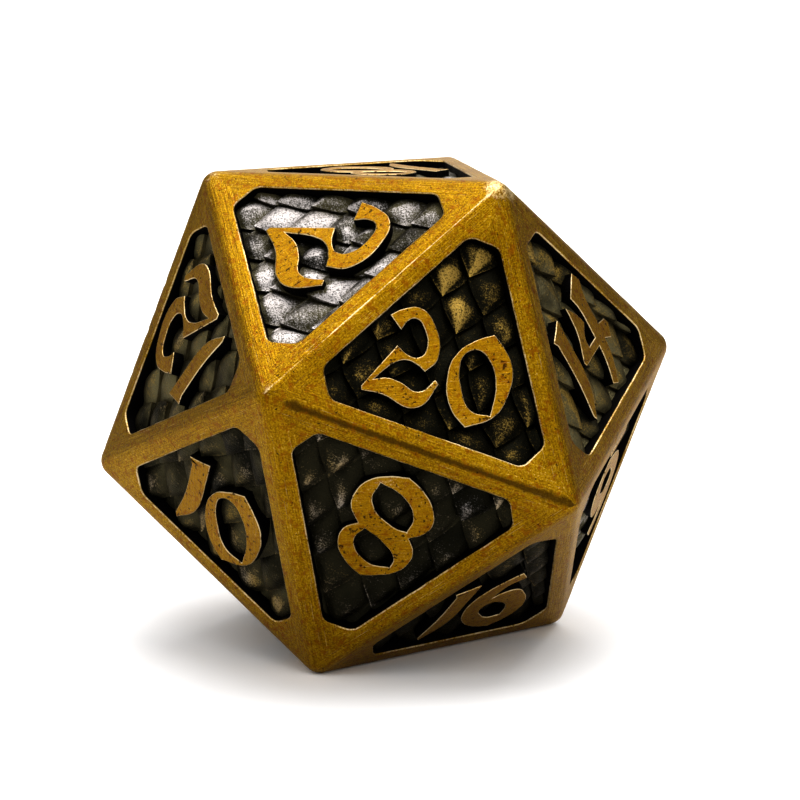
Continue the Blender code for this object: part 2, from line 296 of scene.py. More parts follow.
# Digit outlines in hundredths of the digit's height. A third value of 1 marks a sharp corner,
# and the points without it are joined smoothly.
DIGITS = {
    "0": [
        [
            (36, 100, 1), (51, 90), (65, 74), (69, 48), (61, 21), (34, 0, 1), (14, 13), (0, 46), (4, 70),
            (19, 88),
        ],
        [(12, 70), (24, 79), (40, 72), (53, 50), (56, 20, 1), (34, 19), (18, 38), (11, 56)],
    ],
    "1": [[
        (0, 89, 1), (10, 93), (25, 100, 1), (26, 80), (24, 28), (6, 0, 1), (3, 5, 1), (7, 40), (5, 82, 1),
    ]],
    "2": [[
        (8, 83, 1), (22, 94), (39, 100), (57, 92), (75, 57), (65, 40, 1), (54, 44), (42, 45), (31, 40),
        (12, 16, 1), (27, 22), (41, 22), (64, 19), (79, 36, 1), (84, 33, 1), (73, 7), (60, 0), (27, 4),
        (2, 1, 1), (0, 5, 1), (26, 56, 1), (44, 50), (54, 52), (59, 61), (51, 80), (38, 88), (30, 83),
        (25, 72, 1),
    ]],
    "3": [[
        (7, 84, 1), (20, 95), (37, 100), (55, 91), (63, 78), (52, 58, 1), (68, 42), (70, 28), (60, 10),
        (40, 0, 1), (20, 3), (0, 17, 1), (8, 23, 1), (24, 14), (40, 15), (54, 30), (44, 46),
        (24, 50, 1), (24, 57, 1), (38, 60), (47, 74), (40, 87), (28, 86), (18, 72, 1),
    ]],
    "4": [[
        (14, 86, 1), (26, 73), (31, 63, 1), (20, 52), (20, 45, 1), (36, 45, 1), (34, 75), (29, 87, 1),
        (50, 100, 1), (57, 91, 1), (52, 76), (52, 50, 1), (64, 48, 1), (68, 42, 1), (61, 31, 1),
        (51, 36, 1), (48, 20), (36, 0, 1), (28, 4, 1), (35, 25), (36, 37, 1), (2, 37, 1), (0, 41, 1),
        (12, 62), (14, 76),
    ]],
    "5": [[
        (13, 98, 1), (30, 94), (47, 95), (66, 100, 1), (61, 88), (44, 83), (26, 84, 1), (24, 66, 1),
        (40, 68), (58, 59), (66, 42), (63, 24), (52, 9), (34, 0, 1), (16, 2), (0, 13, 1), (6, 20, 1),
        (20, 13), (34, 13), (48, 22), (52, 36), (46, 50), (32, 56), (9, 50, 1), (14, 72),
    ]],
    "6": [
        [
            (34, 100, 1), (44, 90, 1), (29, 79), (23, 60, 1), (33, 67), (46, 69), (62, 57), (74, 38),
            (75, 24), (67, 10), (54, 0, 1), (31, 7), (12, 21), (2, 40), (1, 58), (9, 77), (21, 90),
        ],
        [(21, 40), (25, 49), (41, 47), (53, 35), (55, 21, 1), (42, 20), (28, 29)],
    ],
    "7": [[
        (1, 99, 1), (16, 94), (34, 94), (64, 100, 1), (60, 82), (46, 54), (38, 26), (22, 0, 1),
        (18, 8, 1), (25, 36), (35, 60), (48, 82, 1), (34, 79), (19, 80), (8, 70, 1), (4, 84),
    ]],
    "8": [
        [
            (36, 100, 1), (53, 91), (65, 76), (65, 63), (56, 54, 1), (67, 42), (69, 30), (63, 14), (52, 6),
            (34, 0, 1), (18, 8), (5, 21), (0, 34), (3, 44), (13, 53, 1), (5, 63), (4, 74), (11, 87), (24, 95),
        ],
        [(17, 84, 1), (35, 86), (53, 70), (49, 57, 1), (31, 64), (17, 76)],
        [(17, 48, 1), (30, 47), (53, 31), (53, 13, 1), (31, 19), (17, 34)],
    ],
}


def corner_point(name):
    level, azimuth = CORNERS[name]
    size = EDGE / math.sqrt(3)
    angle = math.radians(azimuth)
    radius = LEVEL_RADII[level] * size
    return Vector((radius * math.cos(angle), radius * math.sin(angle), LEVEL_HEIGHTS[level] * size))


def face_frame(number):
    """The face's own frame: origin at its centre, +Y to the corner above the number, +Z outwards."""
    points = [corner_point(name) for name in FACES[number]]
    centre = sum(points, Vector()) / 3
    up = (points[0] - centre).normalized()
    outwards = (points[1] - points[0]).cross(points[2] - points[0]).normalized()
    right = up.cross(outwards)
    placed = Matrix((right, up, outwards)).transposed().to_4x4()
    placed.translation = centre
    return placed


def smoothstep(low, high, value):
    share = np.clip((value - low) / (high - low), 0, 1)
    return share * share * (3 - 2 * share)


def spun(x, y, degrees):
    """The point or points turned counter-clockwise about the origin."""
    turn = np.radians(degrees)
    return np.cos(turn) * x - np.sin(turn) * y, np.sin(turn) * x + np.cos(turn) * y


def direction(azimuth, elevation):
    """The way towards an azimuth and an elevation in degrees."""
    turn, tilt = math.radians(azimuth), math.radians(elevation)
    return Vector((math.cos(turn) * math.cos(tilt), math.sin(turn) * math.cos(tilt), math.sin(tilt)))


def noise_at(points, size, seed):
    """Smooth noise between about -1 and 1 at each point, with bumps of the given size."""
    offset = Vector([seed * shift for shift in NOISE_SHIFT])
    return np.array([noise.noise(Vector(point) / size + offset) for point in points])


def waves_at(points, big, small, share, seed):
    """Big waves and a share of small ones."""
    return noise_at(points, big, seed) + share * noise_at(points, small, seed + 1)


def add_piece(name, node, mesh, surface):
    """A piece in the frame's own coordinates that stands for a CAD node."""
    mesh.materials.clear()
    mesh.materials.append(surface)
    piece = bpy.data.objects.new(name, mesh)
    bpy.context.scene.collection.objects.link(piece)
    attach(piece, "root")
    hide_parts(node)


def set_attribute(mesh, name, values, domain="POINT"):
    """Stores a number or a vector for each of the mesh's points or face corners."""
    kind, field = ("FLOAT_VECTOR", "vector") if np.ndim(values) == 2 else ("FLOAT", "value")
    layer = mesh.attributes.new(name, kind, domain)
    layer.data.foreach_set(field, np.asarray(values, np.float32).ravel())


# ---- body


def recess_corner(inset):
    """A cut corner of the recess's outline: the end of the straight side, half the cut, and the radius."""
    side = APOTHEM - LAND_WIDTH - inset
    cut = CORNER_CUT - inset
    radius = CORNER_RADIUS - inset
    half_side = (cut - side / 2) / math.cos(math.radians(30))
    return half_side - radius * TAN30, (2 * side - cut) * TAN30, radius


def recess_rim():
    """The recess's rim as one closed loop of columns.

    Each column is (rim x, rim y, outward angle, ridge x, ridge y): a point on the rim, the way the rim
    faces there, and the point on the ridge that the land runs out to. The loop starts at a cut corner.
    """
    side = APOTHEM - LAND_WIDTH
    straight, half_cut, radius = recess_corner(0)
    arc = radius * math.radians(60)
    after_arc = half_cut - radius * TAN30
    middle = (straight, radius - side)
    half = [(straight * step / STRAIGHT_STEPS, -side, -90.0) for step in range(STRAIGHT_STEPS + 1)]
    ridge = [x for x, _, _ in half]
    for step in range(1, CORNER_STEPS + 1):
        travelled = (arc + after_arc) * step / CORNER_STEPS
        angle = -90 + math.degrees(min(travelled, arc) / radius)
        facing = (math.cos(math.radians(angle)), math.sin(math.radians(angle)))
        beyond = max(travelled - arc, 0)
        x = middle[0] + radius * facing[0] - beyond * facing[1]
        y = middle[1] + radius * facing[1] + beyond * facing[0]
        half.append((x, y, angle))
        ridge.append(straight + (EDGE / 2 - straight) * step / CORNER_STEPS)
    right = [(x, y, angle, out, -APOTHEM) for (x, y, angle), out in zip(half, ridge)]
    left = [(-x, y, -180 - angle, -out, down) for x, y, angle, out, down in right[:0:-1]]
    sector = np.array(left + right[:-1])
    loop = []
    for turn in THIRDS:
        turned = sector.copy()
        turned[:, 0], turned[:, 1] = spun(sector[:, 0], sector[:, 1], turn)
        turned[:, 2] += turn
        turned[:, 3], turned[:, 4] = spun(sector[:, 3], sector[:, 4], turn)
        loop.append(turned)
    return np.concatenate(loop)


def on_rounded_body(points):
    """Moves points of a flat face onto the body with rounded ridges. Also gives the way out there."""
    reach = 2 * APOTHEM * (1 - RIDGE_RADIUS / (FACE_TO_FACE / 2))
    inner = [Vector((*spun(reach, 0, 90 + turn), -RIDGE_RADIUS)) for turn in THIRDS]
    moved, ways = [], []
    for point in points:
        start = geometry.closest_point_on_tri(Vector(point), *inner)
        way = (Vector(point) - start).normalized()
        ways.append(way)
        moved.append(start + way * RIDGE_RADIUS)
    return np.array(moved), np.array(ways)


def body_template():
    """One face of the body in its own frame, as rows of points from the ridge to the recess's floor.

    Gives the points, the way out at each, how far each may shift with the rim, the patina mask, and the
    mask of the painted highlight on the rim.
    """
    rim = recess_rim()
    facing = np.stack([np.cos(np.radians(rim[:, 2])), np.sin(np.radians(rim[:, 2]))], 1)
    start = rim[:, :2] + RIM_RADIUS * facing
    rows, ways, shifts, patina, edge = [], [], [], [], []

    def add_row(points, way, shift, dark, bright):
        rows.append(points)
        ways.append(way)
        shifts.append(np.full(len(points), shift))
        patina.append(np.full(len(points), dark))
        edge.append(np.full(len(points), bright))

    for share in LAND_STEPS:
        flat = start + (rim[:, 3:5] - start) * share
        points, way = on_rounded_body(np.column_stack([flat, np.zeros(len(flat))]))
        add_row(points, way, float(smoothstep(RIM_WOBBLE_END, 0.0, share)), 0.0, 0.0)
    for angle in RIM_ANGLES:
        turn = math.radians(angle)
        plan = rim[:, :2] + RIM_RADIUS * (1 - math.sin(turn)) * facing
        depth = np.full(len(plan), -RIM_RADIUS * (1 - math.cos(turn)))
        way = np.column_stack([-facing * math.sin(turn), np.full(len(plan), math.cos(turn))])
        # The rim's rounding takes the painted rim highlight, and its wall row the black patina
        on_wall = angle == RIM_ANGLES[-1]
        add_row(np.column_stack([plan, depth]), way, 1.0, float(on_wall), float(not on_wall))
    for depth in WALL_DEPTHS:
        way = np.column_stack([-facing, np.zeros(len(rim))])
        add_row(np.column_stack([rim[:, :2], np.full(len(rim), -depth)]), way, 1.0, 1.0, 0.0)
    facings = np.tile(np.column_stack([facing, np.zeros(len(rim))]), (len(rows), 1))
    lists = [np.concatenate(part) for part in (rows, ways, shifts, patina, edge)]
    return (*lists, facings, len(rows), len(rim))


def ridge_finishes(dice):
    """Each ridge's painted light, from a dark band of stain and painted shade to a highlight, and each
    corner's painted highlight.
    """
    ridge_highlights_and_stains = {pair: dice.uniform(*RIDGE_RANGE) for number in sorted(FACES) for pair in ridge_names(number)}
    ridge_highlights_and_stains.update(RIDGE_HIGHLIGHT_AND_STAIN)
    corner_shine = {name: CORNER_HIGHLIGHTS.get(name, dice.uniform(0.0, BRIGHTEST_CORNER_HIGHLIGHT)) for name in CORNERS}
    return ridge_highlights_and_stains, corner_shine


def rub_corners(ridge, world, corner_shine):
    """Adds the painted highlight round each corner to the painted light of the ridges."""
    for name, shine in corner_shine.items():
        away = np.linalg.norm(world - np.array(corner_point(name)), axis=1)
        ridge += shine * smoothstep(*CORNER_REACHES, away) * (1 - ridge)
    return ridge


def template_faces(row_count, columns):
    """The template's rows joined by quads, and the recess's floor."""
    column = np.arange(columns)
    after = (column + 1) % columns
    row = np.arange(row_count - 1)[:, None] * columns
    below = row + columns
    quads = np.stack([row + column, row + after, below + after, below + column], -1).reshape(-1, 4)
    return quads, (row_count - 1) * columns + column


def add_body(surface):
    """The frame of ridges with its twenty recesses, as one closed mesh."""
    points, ways, shifts, patina, edge, facings, row_count, columns = body_template()
    quads, floor = template_faces(row_count, columns)
    sector = np.arange(columns) // (columns // 3)
    quad_sector = np.tile(sector, row_count - 1)[:, None]
    along, across = spun(points[quads][..., 0], points[quads][..., 1], -120.0 * quad_sector)

    dice = random.Random(BODY_SEED)
    ridge_highlights_and_stains, corner_shine = ridge_finishes(dice)
    # Shares of the land that take a ridge's painted crest highlight and its dark band of stain and painted
    # shade
    crest_highlight = smoothstep(CREST_HIGHLIGHT_START, 1.0, np.array(LAND_STEPS))[:, None]
    stain_and_shade = smoothstep(STAIN_AND_SHADE_START, 1.0, np.array(LAND_STEPS))[:, None]
    all_points, all_ways, all_faces, all_brush, all_ridge_light = [], [], [], [], []
    for index, number in enumerate(sorted(FACES)):
        placed = np.array(face_frame(number))
        turned = placed[:3, :3]
        world = points @ turned.T + placed[:3, 3]
        way = ways @ turned.T
        facing = facings @ turned.T
        wobble = waves_at(world, *RIM_WAVES, seed=1)
        roll = waves_at(world, *LAND_WAVES, seed=3)
        world = world + way * (LAND_WOBBLE * roll * (1 - patina))[:, None]
        world = world + facing * (RIM_WOBBLE * wobble * shifts)[:, None]
        base = index * len(points)
        all_points.append(world)
        all_ways.append(way)
        all_faces += (quads + base).tolist()
        all_faces.append((floor + base).tolist())
        finish = np.array([ridge_highlights_and_stains[pair] for pair in ridge_names(number)])[sector]
        ridge = np.zeros((row_count, columns))
        ridge[:len(LAND_STEPS)] = np.where(finish > 0, crest_highlight, stain_and_shade) * finish
        all_ridge_light.append(ridge.ravel())
        strip = np.repeat(quad_sector + FACE_SHIFT * number, 4, axis=1)
        all_brush.append(np.stack([along, across, strip], 2).reshape(-1, 3))
        all_brush.append(np.zeros((columns, 3)))
    world = np.concatenate(all_points)
    world = world + np.concatenate(all_ways) * dents(world, dice)[:, None]

    mesh = bpy.data.meshes.new("brushed_frame")
    mesh.from_pydata((world * MM).tolist(), [], all_faces)
    set_attribute(mesh, "brush", np.concatenate(all_brush), domain="CORNER")
    set_attribute(mesh, "patina", np.tile(patina, len(FACES)))
    # The 'edge' mask paints a highlight on the rim, and 'ridge' holds the painted light of the ridges and
    # corners
    set_attribute(mesh, "edge", np.tile(edge, len(FACES)))
    set_attribute(mesh, "ridge", rub_corners(np.concatenate(all_ridge_light), world, corner_shine))
    shape = bmesh.new()
    shape.from_mesh(mesh)
    bmesh.ops.remove_doubles(shape, verts=shape.verts, dist=WELD * MM)
    bmesh.ops.recalc_face_normals(shape, faces=shape.faces)
    shape.to_mesh(mesh)
    shape.free()
    mesh.shade_smooth()
    mesh.set_sharp_from_angle(angle=math.radians(BODY_SHARP_ANGLE))
    add_piece("brushed_frame", "cast_body", mesh, surface)


def ridge_names(number):
    """The face's three ridges as pairs of corners: below the number, to its right and to its left."""
    top, left, right = FACES[number]
    return [tuple(sorted(pair)) for pair in ((left, right), (right, top), (top, left))]


def dents(points, dice):
    """How far each point is pushed in by small knocks along the ridges, as negative numbers."""
    ridges = sorted({pair for number in FACES for pair in ridge_names(number)})
    knocks = KNOCKS + [
        (*dice.choice(ridges), dice.uniform(*NICK_PLACES), dice.uniform(*NICK_RADII))
        for _ in range(NICK_COUNT)
    ]
    depth = np.zeros(len(points))
    for first, second, share, radius in knocks:
        place = corner_point(first).lerp(corner_point(second), share)
        place += Vector([dice.uniform(-NICK_SCATTER, NICK_SCATTER) for _ in range(3)])
        push = dice.uniform(*NICK_PUSHES) * radius
        near = np.linalg.norm(points - np.array(place), axis=1) / radius
        depth = np.minimum(depth, -push * np.clip(1 - near**2, 0, 1) ** 2)
    return depth


# ---- numerals


def turned_over(contours):
    """The digit turned by half a turn."""
    width = max(point[0] for point in contours[0])
    return [[(width - x, 100 - y, *corner) for x, y, *corner in contour] for contour in contours]


def digits_of(number):
    """Each digit as (CAD node, digit, left edge, base, width factor, height)."""
    node = f"numeral_{number:02d}"
    if number < 10:
        width = max(point[0] for point in DIGITS[str(number)][0]) / 100 * SINGLE_HEIGHT
        base = SINGLE_BASES.get(number, SINGLE_BASE)
        return [(node, str(number), -width / 2, base, 1, SINGLE_HEIGHT)]
    names = (f"{node}_tens", f"{node}_units")
    lefts, widths, base = (TENS_LEFT, UNITS_LEFT), (1, 1), PAIR_BASE
    heights = (TENS_HEIGHT, UNITS_HEIGHTS.get(number, UNITS_HEIGHT))
    if number == 11:
        lefts, heights = ELEVEN_LEFTS, (TENS_HEIGHT, TENS_HEIGHT)
    if number == 20:
        lefts, widths, base = TWENTY_LEFTS, TWENTY_WIDTHS, TWENTY_BASE
        heights = (TWENTY_HEIGHT, TWENTY_HEIGHT)
    return [(*each, base, *size) for each, size in zip(zip(names, str(number), lefts), zip(widths, heights))]


def curve_mesh(contours, kind, **settings):
    """The mesh of a flat curve of closed outlines."""
    drawing = bpy.data.curves.new("drawing", "CURVE")
    drawing.dimensions = "2D"
    for key, value in settings.items():
        setattr(drawing, key, value)
    for contour in contours:
        spline = drawing.splines.new(kind)
        spline.use_cyclic_u = True
        if kind == "POLY":
            spline.points.add(len(contour) - 1)
            for point, place in zip(spline.points, contour):
                point.co = (place[0], place[1], 0, 1)
            continue
        spline.bezier_points.add(len(contour) - 1)
        for point, (x, y, *corner) in zip(spline.bezier_points, contour):
            point.co = (x, y, 0)
            point.handle_left_type = "VECTOR" if corner else "AUTO"
            point.handle_right_type = point.handle_left_type
    holder = bpy.data.objects.new("drawing", drawing)
    bpy.context.scene.collection.objects.link(holder)
    bpy.context.view_layer.update()
    graph = bpy.context.evaluated_depsgraph_get()
    mesh = bpy.data.meshes.new_from_object(holder.evaluated_get(graph))
    bpy.data.objects.remove(holder)
    return mesh


def worn_outlines(number, digit, left, base, width, height):
    """The digit's outlines on the face, as arrays of points with the small waves of a casting."""
    outlines = []
    for index, contour in enumerate(DIGITS[digit]):
        scaled = [
            (left + x * width * height / 100, base + y * height / 100, *corner) for x, y, *corner in contour
        ]
        mesh = curve_mesh([scaled], "BEZIER", fill_mode="NONE", resolution_u=OUTLINE_STEPS)
        points = np.array([vertex.co for vertex in mesh.vertices])
        # The digit's place is in the seed, so that equal digits differ too.
        seed = 10 * number + 3 * index + left
        for axis in (0, 1):
            points[:, axis] += OUTLINE_WOBBLE * noise_at(points, OUTLINE_WAVE, seed + axis)
        outlines.append(points[:, :2])
    return outlines


def bar_outline():
    """The underline of a 6 or a 9. Its top is a little narrower."""
    foot, top = UNDERLINE_BASE, UNDERLINE_BASE + UNDERLINE_HEIGHT
    end = UNDERLINE_LENGTH / 2
    return np.array([(-end, foot), (end, foot), (UNDERLINE_TAPER * end, top), (-UNDERLINE_TAPER * end, top)])


def outlines_on(number):
    """Every raised outline on the face, as {CAD node: its outlines}."""
    found = {node: worn_outlines(number, *rest) for node, *rest in digits_of(number)}
    if number in (6, 9):
        found[f"underline_{number:02d}"] = [bar_outline()]
    return found


def add_numeral(number, node, outlines, surface):
    """A raised digit with a rounded rim. Its brushed top is gold, and its sides are black."""
    thickness = NUMERAL_FOOT_DEPTH - NUMERAL_TOP_DEPTH
    mesh = curve_mesh(
        outlines, "POLY", fill_mode="BOTH", extrude=thickness / 2 - NUMERAL_ROUNDING,
        bevel_depth=NUMERAL_ROUNDING, bevel_resolution=2, offset=-NUMERAL_ROUNDING,
    )
    shape = bmesh.new()
    shape.from_mesh(mesh)
    bmesh.ops.remove_doubles(shape, verts=shape.verts, dist=WELD)
    bmesh.ops.recalc_face_normals(shape, faces=shape.faces)
    for edge in shape.edges:
        lids = [face for face in edge.link_faces if abs(face.normal.z) > LID_FLATNESS]
        edge.smooth = len(lids) != 1
    for face in shape.faces:
        face.smooth = True
    shape.to_mesh(mesh)
    shape.free()
    mesh.name = node
    points = np.array([vertex.co for vertex in mesh.vertices])
    below = thickness / 2 - points[:, 2]
    brushing = FIRST_BRUSHING + BRUSHING_STEP * (number % BRUSHING_COUNT)
    along, across = spun(points[:, 0], points[:, 1], -brushing)
    strip = np.full(len(points), NUMERAL_SHIFT + number)
    set_attribute(mesh, "brush", np.stack([along, across, strip], 1))
    set_attribute(mesh, "patina", below > SOOT_FROM * NUMERAL_ROUNDING)
    # The rounded rim just below the flat top gets a painted highlight
    rim = smoothstep(0.0, TOP_MARGIN, below) * smoothstep(*RIM_HIGHLIGHT_BAND, below / NUMERAL_ROUNDING)
    set_attribute(mesh, "edge", rim)
    set_attribute(mesh, "digit", np.ones(len(points)))
    middle = -(NUMERAL_TOP_DEPTH + NUMERAL_FOOT_DEPTH) / 2
    placed = face_frame(number) @ Matrix.Translation((0, 0, middle))
    mesh.transform(Matrix.Scale(MM, 4) @ placed)
    add_piece(f"raised_{node}", node, mesh, surface)


# ---- scale panels


def recess_planes():
    """The sides of the panel's outline as (way out, distance from the face's centre)."""
    side = APOTHEM - LAND_WIDTH - SEAM
    straight, _, radius = recess_corner(SEAM)
    centre = Vector((straight, radius - side))
    planes = []
    for turn in THIRDS:
        spin = Matrix.Rotation(math.radians(turn), 2)
        planes.append((spin @ Vector((0, -1)), side))
        for angle in (-75, -60, -45, -30):
            way = Vector((math.cos(math.radians(angle)), math.sin(math.radians(angle))))
            mirrored = Vector((-way.x, way.y))
            planes.append((spin @ way, centre.dot(way) + radius))
            # The cut corner itself, at -30, is its own mirror image.
            if angle != -30:
                planes.append((spin @ mirrored, centre.dot(way) + radius))
    return planes


def scale_lattice(number, dice):
    """The lattice's nodes as {(column, row): (x, y, tip height, side height, root height)}."""
    start = SCALE_STARTS.get(number, SCALE_START)
    turn = -1 if number in SCALE_TURNED else 1
    depths = (TIP_DEPTH, SIDE_DEPTH, ROOT_DEPTH)
    nodes = {}
    for row in range(SCALE_ROWS.start - 2, SCALE_ROWS.stop):
        for column in range(SCALE_COLUMNS.start - 1, SCALE_COLUMNS.stop + 1):
            x = (column + row % 2 / 2) * SCALE_COLUMN + dice.uniform(-1, 1) * SCALE_JITTER
            y = start + row * SCALE_ROW + dice.uniform(-1, 1) * SCALE_JITTER
            heights = [dice.uniform(-1, 1) * DEPTH_JITTER - depth for depth in depths]
            nodes[column, row] = (turn * x, turn * y, *heights)
    return nodes


def bulged(first, last, share, outwards):
    """Points from first to last that swing out at the start and a little inwards at the end."""
    first, last = np.array(first), np.array(last)
    run = last - first
    sideways = np.array([-run[1], run[0], 0]) / np.hypot(run[0], run[1]) * outwards
    swing = LEAF_BULGE * np.sin(math.pi * share) * (1 - LEAF_TURN * share)
    return first + run * share[:, None] + sideways * swing[:, None]


def scale_outline(nodes, column, row):
    """A scale as a square grid of points over its four corners: root, left, right and tip.

    Gives the points, and each one's share of the way from the root towards the left and the right.
    """
    side = column - 1 + row % 2
    root, left = nodes[column, row], nodes[side, row - 1]
    right, tip = nodes[side + 1, row - 1], nodes[column, row - 2]
    share = 1 - (1 - np.linspace(0, 1, SCALE_STEPS + 1)) ** STEP_CROWDING
    low, high = (root[0], root[1], root[4]), (tip[0], tip[1], tip[2])
    west, east = (left[0], left[1], left[3]), (right[0], right[1], right[3])
    to_left, to_right = bulged(low, west, share, 1), bulged(low, east, share, -1)
    left_tip, right_tip = bulged(west, high, share, -1), bulged(east, high, share, 1)
    u, v = np.meshgrid(share, share, indexing="ij")
    corners = [np.array(corner) for corner in (low, west, east, high)]
    grid = (
        (1 - v)[..., None] * to_left[:, None] + v[..., None] * right_tip[:, None]
        + (1 - u)[..., None] * to_right[None] + u[..., None] * left_tip[None]
        - ((1 - u) * (1 - v))[..., None] * corners[0] - (u * (1 - v))[..., None] * corners[1]
        - ((1 - u) * v)[..., None] * corners[2] - (u * v)[..., None] * corners[3]
    )
    return grid, u, v


def one_scale(nodes, column, row, finish, dice):
    """A scale's points, and at each point its wear with painted glint, its tone and the way along it."""
    grid, u, v = scale_outline(nodes, column, row)
    along = (u + v) / 2
    off_middle = np.abs(u - v) / np.maximum(1 - np.abs(2 * along - 1), LEAST_LEAF)
    leaf = smoothstep(*LEAF_EDGES, off_middle)
    bend = dice.uniform(-KEEL_BEND, KEEL_BEND)
    keel = np.clip(1 - KEEL_FALL * np.abs(u - v - bend), 0, 1)
    lean = dice.uniform(-CROWN_LEAN, CROWN_LEAN) * (u - v)
    falls = (1 - u**TIP_FALL * v**TIP_FALL) * (1 - u**EDGE_FALL) * (1 - v**EDGE_FALL)
    crown = CROWN_HEIGHT * leaf + dice.uniform(*KEEL_SIZES) * KEEL_HEIGHT * keel + lean
    grid[..., 2] += smoothstep(0, RISE_END, along) * falls * crown

    # The strength is partly painted light: faces 2, 6 and 18 get more bright bare metal as a painted
    # reflection
    worn_from, narrow, strength, worn_side = finish
    wear_and_glint = smoothstep(worn_from, worn_from + WEAR_FADE, along)
    wear_and_glint *= smoothstep(0.0, ROOT_FADE, np.minimum(u, v)) * (1 - narrow * smoothstep(*NARROW_LEAF, off_middle))
    wear_and_glint *= 1 + dice.choice((-1, 1)) * dice.uniform(*KEEL_SIDE_WEAR) * np.sign(u - v - bend)
    tip_x, tip_y = nodes[column, row - 2][:2]
    towards = tip_x * math.cos(math.radians(worn_side)) + tip_y * math.sin(math.radians(worn_side))
    wear_and_glint *= strength * dice.choice(WEAR_LEVELS) * (1 + WORN_SIDE_GAIN * towards / APOTHEM)
    # A thin bright band round the tip, partly a worn edge and partly a painted highlight
    edge = smoothstep(*EDGE_BAND, np.maximum(u, v)) * smoothstep(*EDGE_START, along)
    wear_and_glint = np.maximum(wear_and_glint, EDGE_WEAR_AND_GLINT * max(strength, LEAST_EDGE_STRENGTH) * dice.uniform(0.0, 1.0) * edge)
    tone = np.full(u.shape, dice.uniform(0, 1))
    way = np.stack([u - v, u + v, tone], -1)
    return grid.reshape(-1, 3), wear_and_glint.ravel(), tone.ravel(), way.reshape(-1, 3)


def distance_to(points, others):
    """How far each point is from the nearest of the others."""
    return np.min(np.linalg.norm(points[:, None] - others[None], axis=2), axis=1)


def joined_scales(nodes, planes, finish, dice):
    """All scales that reach the recess, and the walls between them, as one open surface.

    Gives the points, the wear with painted glint, the tone and the way along the scale at each point, and the
    faces.
    """
    steps = SCALE_STEPS + 1
    grid = np.arange(steps * steps).reshape(steps, steps)
    patch = np.stack([grid[:-1, :-1], grid[1:, :-1], grid[1:, 1:], grid[:-1, 1:]], -1).reshape(-1, 4)
    scales, faces, first = [], [], {}
    for row in SCALE_ROWS:
        for column in SCALE_COLUMNS:
            scale = one_scale(nodes, column, row, finish, dice)
            middle = scale[0][:, :2].mean(0)
            if any(middle @ np.array(way) > reach + SCALE_ROW for way, reach in planes):
                continue
            first[column, row] = len(scales) * steps * steps
            faces += (patch + first[column, row]).tolist()
            scales.append(scale)
    for (column, row), base in first.items():
        side = column - 1 + row % 2
        lower_left, lower_right = first.get((side, row - 1)), first.get((side + 1, row - 1))
        for step in range(SCALE_STEPS):
            if lower_left is not None:
                top, low = base + grid[-1, step:step + 2], lower_left + grid[0, step:step + 2]
                faces.append([int(top[0]), int(low[0]), int(low[1]), int(top[1])])
            if lower_right is not None:
                top, low = base + grid[step:step + 2, -1], lower_right + grid[step:step + 2, 0]
                faces.append([int(top[0]), int(top[1]), int(low[1]), int(low[0])])
    points, wear_and_glint, tone, ways = [np.concatenate(part) for part in zip(*scales)]
    return points, wear_and_glint, tone, ways, faces


def close_panel(mesh, planes):
    """Cuts the open surface to the recess's outline, and adds the sides and the flat underside."""
    shape = bmesh.new()
    shape.from_mesh(mesh)
    bmesh.ops.remove_doubles(shape, verts=shape.verts, dist=WELD)
    for way, reach in planes:
        everything = shape.verts[:] + shape.edges[:] + shape.faces[:]
        bmesh.ops.bisect_plane(
            shape, geom=everything, plane_co=(*(way * reach), 0), plane_no=(*way, 0), clear_outer=True
        )
    rim = [edge for edge in shape.edges if edge.is_boundary]
    skirt = bmesh.ops.extrude_edge_only(shape, edges=rim)["geom"]
    for corner in [part for part in skirt if isinstance(part, bmesh.types.BMVert)]:
        corner.co.z = SEAM - POCKET_DEPTH
    hem = [part for part in skirt if isinstance(part, bmesh.types.BMEdge) and part.is_boundary]
    bmesh.ops.contextual_create(shape, geom=hem)
    bmesh.ops.recalc_face_normals(shape, faces=shape.faces)
    shape.to_mesh(mesh)
    shape.free()


def add_panel(number, outlines, surface):
    """The relief of overlapping scales in one recess, as a closed solid."""
    dice = random.Random(PANEL_SEED + number)
    *finish, gilding, painted_sheen = SCALE_WEAR_AND_SHEEN.get(number, PLAIN_WEAR_AND_SHEEN)
    nodes = scale_lattice(number, dice)
    planes = recess_planes()
    points, wear_and_glint, tone, ways, faces = joined_scales(nodes, planes, finish, dice)
    raised = np.concatenate([outline for group in outlines.values() for outline in group])
    wall = np.min([reach - points[:, :2] @ np.array(way) for way, reach in planes], axis=0)
    # Less bare metal near the wall and the digits: black strips, partly patina and partly painted shade
    wear_and_glint = wear_and_glint * smoothstep(0.0, WALL_SHADE, wall)
    wear_and_glint = wear_and_glint * smoothstep(0.0, DIGIT_SHADE, distance_to(points[:, :2], raised))
    points[:, 2] += sum(height * noise_at(points, size, number + seed) for height, size, seed in RELIEF_WAVES)

    name = f"scale_relief_{number:02d}"
    mesh = bpy.data.meshes.new(name)
    mesh.from_pydata(points.tolist(), [], faces)
    set_attribute(mesh, "wear_and_glint", wear_and_glint)
    set_attribute(mesh, "tone", tone)
    set_attribute(mesh, "gilding", np.full(len(points), gilding))
    set_attribute(mesh, "painted_sheen", np.full(len(points), painted_sheen))
    set_attribute(mesh, "along", ways)
    close_panel(mesh, planes)
    mesh.transform(Matrix.Scale(MM, 4) @ face_frame(number))
    mesh.shade_smooth()
    mesh.set_sharp_from_angle(angle=math.radians(PANEL_SHARP_ANGLE))
    add_piece(name, f"scale_panel_{number:02d}", mesh, surface)


# ---- materials


# Linear colours of the metals
GOLD_DARK = (0.155, 0.068, 0.001)
GOLD_LIGHT = (0.500, 0.298, 0.006)
GOLD_ORANGE = (0.430, 0.215, 0.005)
